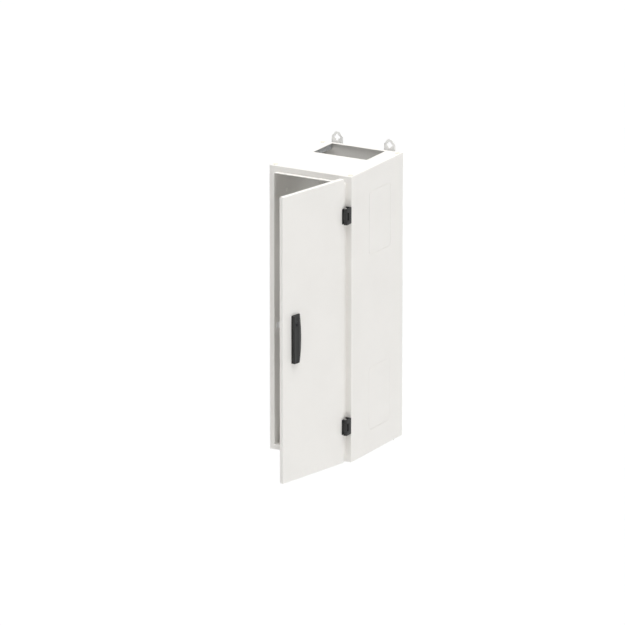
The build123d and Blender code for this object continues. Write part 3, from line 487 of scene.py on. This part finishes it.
ROUNDED = [
    ("handle_base", "door", "black_plastic", 0.5, 3),
    ("hinge_frame_parts", "cabinet", "black_plastic", 0.35, 3),
    ("hinge_leaves", "door", "black_plastic", 0.35, 3),
    ("wall_lugs", "cabinet", "lug_coat", 0.5, 2),
    ("door_gasket", "door", "gasket_foam", 2.6, 4),
    ("controller_body", "cabinet", "grey_plastic", 0.5, 2),
    ("control_breakers", "cabinet", "light_plastic", 0.35, 2),
    ("breaker_toggle_1", "toggle_1", "black_plastic", 0.4, 2),
    ("breaker_toggle_2", "toggle_2", "black_plastic", 0.4, 2),
    ("voltage_relays", "cabinet", "light_plastic", 0.4, 2),
    ("terminal_blocks", "cabinet", "grey_plastic", 0.3, 2),
    ("switch_base", "cabinet", "switch_plastic", 0.7, 2),
    ("switch_cover", "cabinet", "switch_plastic", 0.7, 2),
    ("phase_barriers", "cabinet", "switch_plastic", 0.4, 2),
    ("bar_supports", "cabinet", "black_plastic", 0.5, 2),
    ("cable_ducts", "cabinet", "grey_plastic", 0.3, 1),
    ("supply_one_contacts", "cabinet", "copper", 0.3, 2),
    ("supply_two_contacts", "cabinet", "copper", 0.3, 2),
    ("load_contacts", "cabinet", "copper", 0.3, 2),
    ("neutral_and_earth_bars", "cabinet", "copper", 0.4, 2),
    ("terminal_bolts", "cabinet", "zinc_steel", 0.3, 2),
    ("bar_screws", "cabinet", "zinc_steel", 0.2, 2),
    ("lug_bolts", "cabinet", "zinc_steel", 0.3, 2),
    ("latch_keeper", "cabinet", "zinc_steel", 0.25, 2),
    ("latch_cam", "lever_handle", "zinc_steel", 0.3, 2),
    ("lever_spindle", "lever_handle", "zinc_steel", 0.3, 2),
    ("manual_lever", "rotor", "zinc_steel", 0.5, 2),
]
for node, body, slot_name, width, segments in ROUNDED:
    rounded = soften(node, body, slot_name, width, segments)
    print(node, len(rounded.data.polygons), "faces")
dress(bpy.data.objects["controller_body_rounded"], case_moulding)
dress(frame["nodes"]["hinge_screws"], black_screw)
# The latch keeper takes the near-white zinc, whose brightness is a painted reflection.
dress(bpy.data.objects["latch_keeper_rounded"], satin_zinc)

# %% [markdown]
# ## The door lever
# The lever is one long moulding. Its face is a flat strip; the side towards the door's free
# edge is upright, and the other side slopes and bulges so that fingers can get behind it. It
# starts as a flat grid of the outline. The rows on the bulging side are pushed out along an
# arc, the sheet is extruded to its thickness, and the face is drawn in to the flat strip. Then
# the edges are rounded, and last of all the seat of the lock is cut through.

# %% Door lever


def press_on_door(piece):
    """Swing a piece made in the shut door's own frame out to where the door stands."""
    clear_selection()
    piece.matrix_world = on_door
    piece.select_set(True)
    bpy.context.view_layer.objects.active = piece
    bpy.ops.object.transform_apply(location=True, rotation=True, scale=True)


def cut(piece, cutter):
    """Take the shape of the cutter out of the piece."""
    clear_selection()
    piece.select_set(True)
    bpy.context.view_layer.objects.active = piece
    opening = piece.modifiers.new("opening", "BOOLEAN")
    opening.operation = "DIFFERENCE"
    opening.object = cutter
    bpy.ops.object.modifier_apply(modifier="opening")
    bpy.data.objects.remove(cutter)


LEVER_BACK = -3.9 * MM
LEVER_THICK = 9 * MM
LEVER_LEFT = -11.4 * MM
LEVER_RIGHT = 24.2 * MM
LEVER_BULGE = 6.5 * MM
FACE_HALF = 11.7 * MM
LOCK_RISE = 101 * MM
LOCK_SEAT_RADIUS = 10.1 * MM
ROWS = 24
lever_low, lever_high = (corner[2] - on_door.translation.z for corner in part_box("lever"))
lever_middle = (lever_low + lever_high) / 2
half_length = (lever_high - lever_low) / 2
arc_radius = (half_length ** 2 + LEVER_BULGE ** 2) / (2 * LEVER_BULGE)


def bulge_at(z):
    """How far the outline stands out beyond its ends at height z."""
    along = z - lever_middle
    return math.sqrt(arc_radius ** 2 - along ** 2) - arc_radius + LEVER_BULGE


clear_selection()
bpy.ops.mesh.primitive_grid_add(x_subdivisions=1, y_subdivisions=ROWS, size=1)
lever = begin("door_lever", "lever_handle", "black_plastic", "lever")
lever.scale = (LEVER_RIGHT - LEVER_LEFT, 2 * half_length, 1)
lever.rotation_euler = (math.radians(90), 0, 0)
lever.location = ((LEVER_LEFT + LEVER_RIGHT) / 2, LEVER_BACK, lever_middle)
bpy.ops.object.transform_apply(location=True, rotation=True, scale=True)
bpy.ops.object.mode_set(mode="EDIT")
heights = [lever_low + 2 * half_length * row / ROWS for row in range(ROWS + 1)]
for z in heights:
    choose(lever, "verts", lambda middle, facing: abs(middle.z - z) < TOUCHING and middle.x > 0)
    bpy.ops.transform.translate(value=(bulge_at(z), 0, 0))
bpy.ops.mesh.select_all(action="SELECT")
bpy.ops.mesh.extrude_region_move(TRANSFORM_OT_translate={"value": (0, -LEVER_THICK, 0)})
front = LEVER_BACK - LEVER_THICK
for z in heights:
    choose(lever, "verts", lambda middle, facing: abs(middle.z - z) < TOUCHING and middle.x > 0
           and middle.y < front + TOUCHING)
    bpy.ops.transform.translate(value=(FACE_HALF - LEVER_RIGHT - bulge_at(z), 0, 0))
bpy.ops.mesh.select_all(action="SELECT")
bpy.ops.mesh.normals_make_consistent(inside=False)
finish_shape(lever, 1.3 * MM, 4, 30)
bpy.ops.object.mode_set(mode="EDIT")
choose(lever, "faces", lambda middle, facing: facing.y < -0.99 and middle.y < front + TOUCHING)
bpy.ops.mesh.inset(thickness=0.5 * MM)
bpy.ops.mesh.inset(thickness=0.5 * MM, depth=-0.35 * MM)
bpy.ops.object.mode_set(mode="OBJECT")
bpy.ops.mesh.primitive_cylinder_add(vertices=64, radius=LOCK_SEAT_RADIUS, depth=40 * MM,
                                    location=(0, 0, LOCK_RISE),
                                    rotation=(math.radians(90), 0, 0))
cut(lever, bpy.context.active_object)
finish_shape(lever, 0.3 * MM, 2, 60)
press_on_door(lever)
print("lever faces:", len(lever.data.polygons))

# %% [markdown]
# ## The lock
# A round steel barrel sits in the lever. Its rim is rounded, its face is dished, and in the
# middle a round keyway holds the raised bar that the key fits over. The barrel is a cylinder
# whose front is inset and pushed in twice; the bar is a short block with its ends rounded.

# %% Lock barrel
LOCK_RADIUS = 10 * MM
LOCK_DEPTH = 8.2 * MM
KEY_BAR_TURN = math.radians(35)
lock_front = front + 0.8 * MM
clear_selection()
bpy.ops.mesh.primitive_cylinder_add(vertices=64, radius=LOCK_RADIUS, depth=LOCK_DEPTH,
                                    location=(0, lock_front + LOCK_DEPTH / 2, LOCK_RISE),
                                    rotation=(math.radians(90), 0, 0))
barrel = begin("lock_face", "lock", "lock_metal", "lock_barrel")
bpy.ops.object.transform_apply(location=True, rotation=True, scale=True)
bpy.ops.object.mode_set(mode="EDIT")
choose(barrel, "faces", lambda middle, facing: facing.y < -0.9)
bpy.ops.mesh.inset(thickness=1.9 * MM)
bpy.ops.mesh.inset(thickness=0.5 * MM, depth=-0.7 * MM)
bpy.ops.mesh.inset(thickness=3.2 * MM)
bpy.ops.mesh.inset(thickness=0.2 * MM, depth=-4.0 * MM)
finish_shape(barrel, 0.25 * MM, 3, 30)
press_on_door(barrel)

clear_selection()
bpy.ops.mesh.primitive_cube_add(size=1, location=(0, lock_front + 3.2 * MM, LOCK_RISE),
                                scale=(5.0 * MM, 4 * MM, 2.4 * MM))
key_bar = begin("lock_key_bar", "lock", "lock_metal")
bpy.ops.object.transform_apply(location=True, rotation=True, scale=True)
bpy.ops.object.mode_set(mode="EDIT")
bpy.ops.mesh.select_all(action="SELECT")
bpy.ops.transform.rotate(value=KEY_BAR_TURN, orient_axis="Y",
                         center_override=(0, lock_front, LOCK_RISE))
finish_shape(key_bar, 0.8 * MM, 4, 30)
press_on_door(key_bar)
print("lock faces:", len(barrel.data.polygons) + len(key_bar.data.polygons))

# %% [markdown]
# ## The grip of the manual lever
# The transfer switch can be thrown by hand, and its lever ends in a moulded grip with ribs so
# that it doesn't slip. The grip grows from a short cylinder: its end face is extruded and drawn
# in and out to form the collar, the ribs and the domed end.

# %% Manual grip
grip_low, grip_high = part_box("lever_grip")
grip_x = (grip_low[0] + grip_high[0]) / 2
grip_z = (grip_low[2] + grip_high[2]) / 2
grip_radius = (grip_high[0] - grip_low[0]) / 2
GRIP_START = 0.72
clear_selection()
bpy.ops.mesh.primitive_cylinder_add(vertices=40, radius=grip_radius * GRIP_START, depth=2 * MM,
                                    location=(grip_x, grip_high[1] - 1 * MM, grip_z),
                                    rotation=(math.radians(90), 0, 0))
grip = begin("manual_grip", "rotor", "black_plastic", "lever_grip")
bpy.ops.object.transform_apply(location=True, rotation=True, scale=True)
bpy.ops.object.mode_set(mode="EDIT")
choose(grip, "faces", lambda middle, facing: facing.y < -0.9)
# Each ring is a step towards the free end and a size against the widest ring.
RINGS = [(0.0, 0.95), (5.0, 0.95), (1.2, 0.82)]
RINGS += [(1.3, 1.0), (2.6, 1.0), (1.3, 0.88), (1.3, 0.88)] * 5
RINGS += [(1.4, 1.0), (3.0, 1.0), (2.2, 0.86), (1.2, 0.55)]
scale_now = GRIP_START
y_now = grip_high[1] - 2 * MM
room = y_now - grip_low[1]
stride = room / sum(step for step, size in RINGS)
for step, size in RINGS:
    y_now -= step * stride
    bpy.ops.mesh.extrude_region_move(TRANSFORM_OT_translate={"value": (0, -step * stride, 0)})
    bpy.ops.transform.resize(value=(size / scale_now, 1, size / scale_now),
                             center_override=(grip_x, y_now, grip_z))
    scale_now = size
bpy.ops.mesh.select_all(action="SELECT")
bpy.ops.mesh.remove_doubles(threshold=TOUCHING)
bpy.ops.mesh.normals_make_consistent(inside=False)
finish_shape(grip, 0.4 * MM, 2, 25)
print("grip", [round(value / MM, 1) for value in grip.dimensions])

# %% [markdown]
# ## Slotted screws and dials
# The breakers, the terminals and the relays all carry slotted screws or small dials at the
# bottom of their holes. One screw is a cylinder with a slot cut across its rounded head. It is
# modelled at each of three sizes and copied over a grid of places.

# %% Slotted screws


def slotted_head(name, slot_name, radius, depth, place, turn_by):
    """A round head facing forwards, with its front at place and a slot turned by an angle."""
    clear_selection()
    bpy.ops.mesh.primitive_cylinder_add(vertices=28, radius=radius, depth=depth,
                                        location=place + Vector((0, depth / 2, 0)),
                                        rotation=(math.radians(90), 0, 0))
    head = begin(name, "cabinet", slot_name)
    finish_shape(head, radius * 0.12, 2, 40)
    bpy.ops.mesh.primitive_cube_add(size=1, location=place, rotation=(0, turn_by, 0),
                                    scale=(radius * 2.4, depth * 0.7, radius * 0.32))
    cut(head, bpy.context.active_object)
    finish_shape(head)
    return head


def over_grid(piece, stem, columns, rows):
    """Copy a piece to every place of a grid but the first, and count the places."""
    places = [(column * MM, 0, row * MM) for column in columns for row in rows]
    for number, move in enumerate(places[1:], start=2):
        copy_to(piece, f"{stem}_{number}", move)
    return len(places)


breaker_low, breaker_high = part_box("control_breakers")
relay_low, relay_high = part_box("voltage_relays")
terminal_low, terminal_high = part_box("terminal_blocks")

breaker_z = (breaker_low[2] + breaker_high[2]) / 2
first = Vector((breaker_low[0] + 8.8 * MM, breaker_high[1] - 46 * MM, breaker_z - 34 * MM))
screw = slotted_head("breaker_screw_1", "zinc_steel", 3.3 * MM, 4 * MM, first, 0.6)
heads = over_grid(screw, "breaker_screw", (0, 18, 36, 54), (0, 68))

relay_z = (relay_low[2] + relay_high[2]) / 2
first = Vector((relay_low[0] + 11.2 * MM, relay_low[1] + 0.2 * MM, relay_z - 16 * MM))
dial = slotted_head("relay_dial_1", "black_plastic", 3.8 * MM, 1.6 * MM, first, -0.5)
heads += over_grid(dial, "relay_dial", (0, 23.5, 47), (0, 16, 32))

TERMINAL_PITCH = 9
terminal_z = (terminal_low[2] + terminal_high[2]) / 2
first = Vector((terminal_low[0] + 4.2 * MM, terminal_low[1] + 2.5 * MM, terminal_z - 11 * MM))
clamp = slotted_head("terminal_screw_1", "zinc_steel", 2.4 * MM, 3 * MM, first, 0.2)
heads += over_grid(clamp, "terminal_screw", range(0, 12 * TERMINAL_PITCH, TERMINAL_PITCH), (0, 22))
print("slotted heads:", heads)

# %% [markdown]
# ## The controller's face
# The controller has a raised bezel round its window, a collar round each push button, and a lit
# diagram behind the window: two supplies, a changeover between them and one load. The bezel
# starts as a flat block whose front and back are inset and bridged into an open frame. The
# diagram is a set of slim raised bars.

# %% Controller face
window_low, window_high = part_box("controller_window")
window_middle = (window_low + window_high) / 2
case_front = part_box("controller_body")[0][1]
BEZEL = 3.4 * MM
BEZEL_THICK = 1.6 * MM
BUTTONS = (1, 2, 3, 4)
clear_selection()
bpy.ops.mesh.primitive_cube_add(size=1, location=(window_middle.x, case_front, window_middle.z),
                                scale=(window_high.x - window_low.x + 2 * BEZEL, BEZEL_THICK,
                                       window_high.z - window_low.z + 2 * BEZEL))
bezel = begin("controller_bezel", "cabinet", "grey_plastic")
dress(bezel, case_moulding)
bpy.ops.object.transform_apply(location=True, rotation=True, scale=True)
bpy.ops.object.mode_set(mode="EDIT")
choose(bezel, "faces", lambda middle, facing: abs(facing.y) > 0.9)
bpy.ops.mesh.inset(thickness=BEZEL)
bpy.ops.mesh.bridge_edge_loops()
bpy.ops.mesh.select_all(action="SELECT")
bpy.ops.mesh.normals_make_consistent(inside=False)
finish_shape(bezel, 0.45 * MM, 3, 30)

for number in BUTTONS:
    button_low, button_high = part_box(f"push_button_{number}")
    clear_selection()
    bpy.ops.mesh.primitive_torus_add(major_radius=7.3 * MM, minor_radius=0.9 * MM,
                                     major_segments=48, minor_segments=12,
                                     location=((button_low[0] + button_high[0]) / 2, case_front,
                                               (button_low[2] + button_high[2]) / 2),
                                     rotation=(math.radians(90), 0, 0))
    collar = begin(f"button_collar_{number}", "cabinet", "grey_plastic")
    finish_shape(collar)

# Each bar is left, right, low and high, in millimetres from the window's middle.
DIAGRAM = [(-34, -22, 12, 13), (22, 34, 12, 13), (-34, -22, 5, 6), (22, 34, 5, 6),
           (-34, -33, 5, 13), (-23, -22, 5, 13), (22, 23, 5, 13), (33, 34, 5, 13),
           (-21, -9, 8.6, 9.4), (9, 21, 8.6, 9.4), (-8, 2, 8.0, 9.0), (-0.4, 0.4, -6, 4),
           (-7, 7, -8, -7), (-7, 7, -14, -13), (-7, -6, -14, -7), (6, 7, -14, -7),
           (-38, -22, -11, -10), (-38, -27, -14, -13), (22, 38, -11, -10), (22, 32, -14, -13)]
for number, (left, right, low, high) in enumerate(DIAGRAM, start=1):
    clear_selection()
    bpy.ops.mesh.primitive_cube_add(
        size=1, location=(window_middle.x + (left + right) / 2 * MM, window_low.y,
                          window_middle.z + (low + high) / 2 * MM),
        scale=((right - left) * MM, 0.3 * MM, (high - low) * MM))
    bar = begin(f"display_bar_{number}", "cabinet", "lamps")
    dress(bar, lit_lines)
    finish_shape(bar, 0.1 * MM, 2, 30)
print("controller pieces:", 1 + len(BUTTONS) + len(DIAGRAM))

# %% [markdown]
# ## Rivets on the inner walls
# Each side wall has two flat rivets inside, near the top and near the bottom, painted over
# with the wall. A rivet is a short cylinder whose face is inset and lifted to a low dome and
# then rounded. It is modelled once on the left wall and copied to the other places.

# %% Wall rivets
WALL_SHEET = 1.5 * MM
RIVET_RIM = 1.2 * MM
RIVET_Y = 105 * MM
RIVET_Z = 368 * MM
left_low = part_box("side_panel_left")[0]
right_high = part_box("side_panel_right")[1]
front_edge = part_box("front_frame")[1][1]
clear_selection()
bpy.ops.mesh.primitive_cylinder_add(vertices=32, radius=4.5 * MM, depth=RIVET_RIM,
                                    location=(left_low[0] + WALL_SHEET + RIVET_RIM / 2,
                                              front_edge + RIVET_Y, RIVET_Z),
                                    rotation=(0, math.radians(90), 0))
rivet = begin("wall_rivet_1", "cabinet", "white_coat")
bpy.ops.object.transform_apply(location=True, rotation=True, scale=True)
bpy.ops.object.mode_set(mode="EDIT")
choose(rivet, "faces", lambda middle, facing: facing.x > 0.9)
bpy.ops.mesh.inset(thickness=1.2 * MM)
bpy.ops.transform.translate(value=(0.7 * MM, 0, 0))
finish_shape(rivet, 0.4 * MM, 3, 25)
copy_to(rivet, "wall_rivet_2", (0, 0, -2 * RIVET_Z))
across = right_high[0] - left_low[0] - 2 * WALL_SHEET
for number, z in ((3, 0), (4, -2 * RIVET_Z)):
    facing_left = copy_to(rivet, f"wall_rivet_{number}", (0, 0, z))
    facing_left.data.transform(Matrix.Scale(-1, 4, (1, 0, 0)))
    facing_left.data.flip_normals()
    facing_left.data.transform(Matrix.Translation((left_low[0] + right_high[0], 0, 0)))
print("rivets on walls", round(across / MM, 1), "mm apart")

# %% [markdown]
# ## Floor and light
# The cabinet hangs in a bright white room. The floor is far below it, so it is lit evenly and
# no shadow edge reaches it. A broad sun overhead makes the roof the lightest face, and a weaker
# one from the right lifts the side above the front, which is how a soft studio box reads.

# %% Floor and light
FLOOR_DROP = 1.3
clear_selection()
bpy.ops.mesh.primitive_plane_add(size=120, location=(0, 0, cad_box[0][2] - FLOOR_DROP))
floor = bpy.context.active_object
floor.name = "floor"
floor_finish = Finish("pale_floor", Roughness=0.95)
floor_tone = floor_finish.noise(0.6, 2.0, 0.5)
floor_finish.set("Base Color", floor_finish.blend(floor_tone, tint(0.735, 0.735, 0.735),
                                                  tint(0.75, 0.75, 0.75)))
floor.data.materials.append(floor_finish.material)

world = bpy.data.worlds.new("room")
world.use_nodes = True
world.node_tree.nodes["Background"].inputs[0].default_value = (1.0, 1.0, 1.0, 1.0)
world.node_tree.nodes["Background"].inputs[1].default_value = 0.05
bpy.context.scene.world = world
bpy.context.scene.view_settings.view_transform = "Standard"


def broad_sun(name, toward, strength, spread):
    """A sun shining from the direction toward, soft over the given angle in degrees."""
    lamp = bpy.data.lights.new(name, "SUN")
    lamp.energy = strength
    lamp.angle = math.radians(spread)
    holder = bpy.data.objects.new(name, lamp)
    bpy.context.collection.objects.link(holder)
    holder.rotation_euler = Vector(toward).to_track_quat("Z", "Y").to_euler()


broad_sun("overhead", (0.0, 0.0, 1.0), 4.1, 88)
broad_sun("right", (1.0, -0.42, 0.06), 0.86, 30)

# %% [markdown]
# ## Camera
# The camera stands far off with a long lens, turned a third of a right angle to the right of
# the front and raised a little, so upright edges stay almost parallel and the side, the front
# and the roof are all seen.

# %% Camera
AZIMUTH = math.radians(29.70)
ELEVATION = math.radians(16.78)
DISTANCE = 22.495
SENSOR_WIDTH = 36.0
LENS_TO_SENSOR = 11.26144
target = Vector((7.55 * MM, -346 * MM, 6.97 * MM))
away = Vector((math.sin(AZIMUTH) * math.cos(ELEVATION), -math.cos(AZIMUTH) * math.cos(ELEVATION),
               math.sin(ELEVATION)))
lens_data = bpy.data.cameras.new("camera")
lens_data.sensor_width = SENSOR_WIDTH
lens_data.lens = LENS_TO_SENSOR * SENSOR_WIDTH
lens_data.clip_end = 200
camera = bpy.data.objects.new("camera", lens_data)
bpy.context.collection.objects.link(camera)
camera.location = target + away * DISTANCE
camera.rotation_euler = (-away).to_track_quat("-Z", "Y").to_euler()
bpy.context.scene.camera = camera
print("camera at", [round(value, 2) for value in camera.location])
